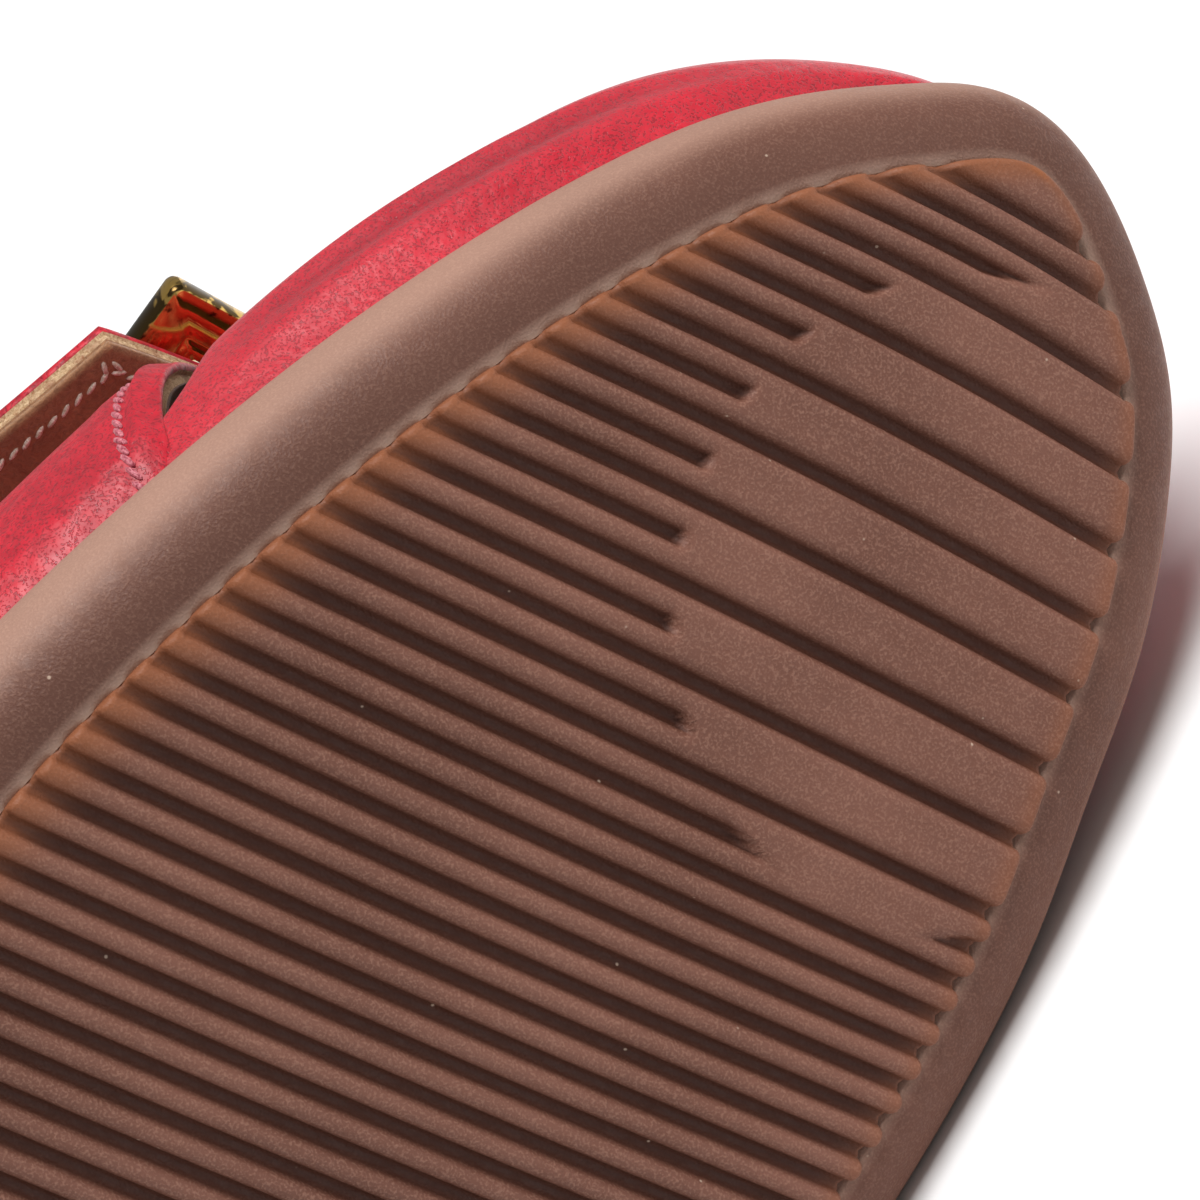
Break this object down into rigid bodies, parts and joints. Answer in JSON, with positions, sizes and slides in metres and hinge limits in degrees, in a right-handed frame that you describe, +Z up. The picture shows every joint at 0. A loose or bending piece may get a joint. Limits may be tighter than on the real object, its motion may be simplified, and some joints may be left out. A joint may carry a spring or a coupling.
{
  "type": "ballet flat",
  "caption": "Red leather ballet flat with a ribbed gum rubber sole, a band across the instep, a closing strap and a gold rectangular buckle.",
  "frame": {"origin": "middle of the box's underside, on the floor that the shoe lies on", "axes": "+Y towards the toe, +Z up with the shoe lying on its medial side, +X out of the tread"},
  "size_m": [0.0658, 0.2474, 0.0833],
  "materials": {
    "gum_rubber": "matt, moulded",
    "red_leather": "soft sheen, grained",
    "insole_sheet": "matt",
    "strap_leather": "soft sheen, grained",
    "gold_metal": "polished"
  },
  "bodies": {
    "root": {"outsole": "gum_rubber", "upper": "red_leather", "insole": "insole_sheet", "strap": "strap_leather", "buckle": "gold_metal"}
  },
  "joints": []
}
